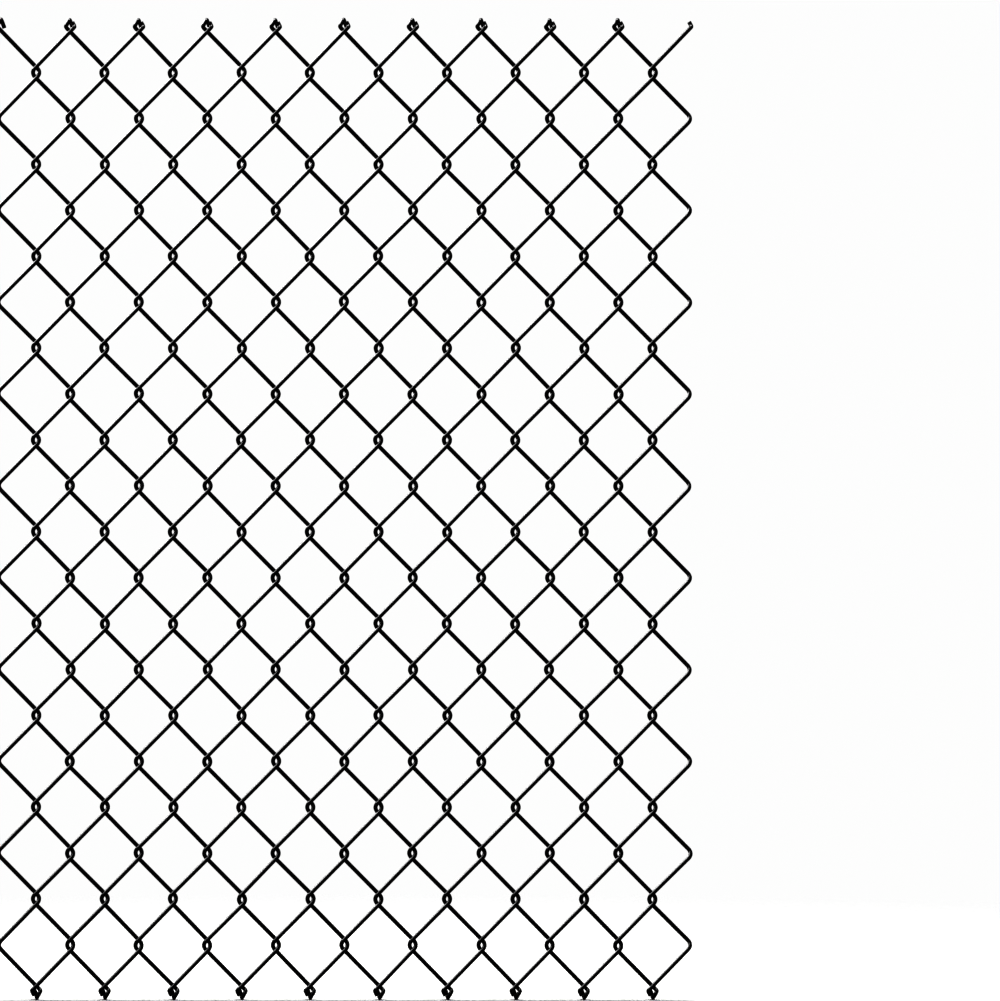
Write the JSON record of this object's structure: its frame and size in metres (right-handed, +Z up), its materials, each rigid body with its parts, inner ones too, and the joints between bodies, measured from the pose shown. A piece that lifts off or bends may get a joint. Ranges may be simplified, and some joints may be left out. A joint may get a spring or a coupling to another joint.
{
  "type": "chain-link fence mesh panel",
  "caption": "Flat panel of chain-link fence mesh: zigzag wires with a black vinyl coat, woven into upright diamonds and knuckled along the top and bottom edges.",
  "frame": {"origin": "on the column line of the left edge, halfway through the weave, level with the lowest point of the bottom knuckles", "axes": "+X along the fence from the left edge to the right one, +Y through the mesh from the front to the back, +Z up"},
  "size_m": [0.6496, 0.0114, 0.9144],
  "materials": {
    "black_vinyl_wire": "extruded black vinyl coat over galvanised steel wire, satin"
  },
  "bodies": {
    "root": {"picket_wire_01": "black_vinyl_wire", "picket_wire_02": "black_vinyl_wire", "picket_wire_03": "black_vinyl_wire", "picket_wire_04": "black_vinyl_wire", "picket_wire_05": "black_vinyl_wire", "picket_wire_06": "black_vinyl_wire", "picket_wire_07": "black_vinyl_wire", "picket_wire_08": "black_vinyl_wire", "picket_wire_09": "black_vinyl_wire", "picket_wire_10": "black_vinyl_wire", "picket_wire_11": "black_vinyl_wire", "picket_wire_12": "black_vinyl_wire", "picket_wire_13": "black_vinyl_wire", "picket_wire_14": "black_vinyl_wire", "picket_wire_15": "black_vinyl_wire", "picket_wire_16": "black_vinyl_wire", "picket_wire_17": "black_vinyl_wire", "picket_wire_18": "black_vinyl_wire", "picket_wire_19": "black_vinyl_wire", "picket_wire_20": "black_vinyl_wire"}
  },
  "joints": []
}
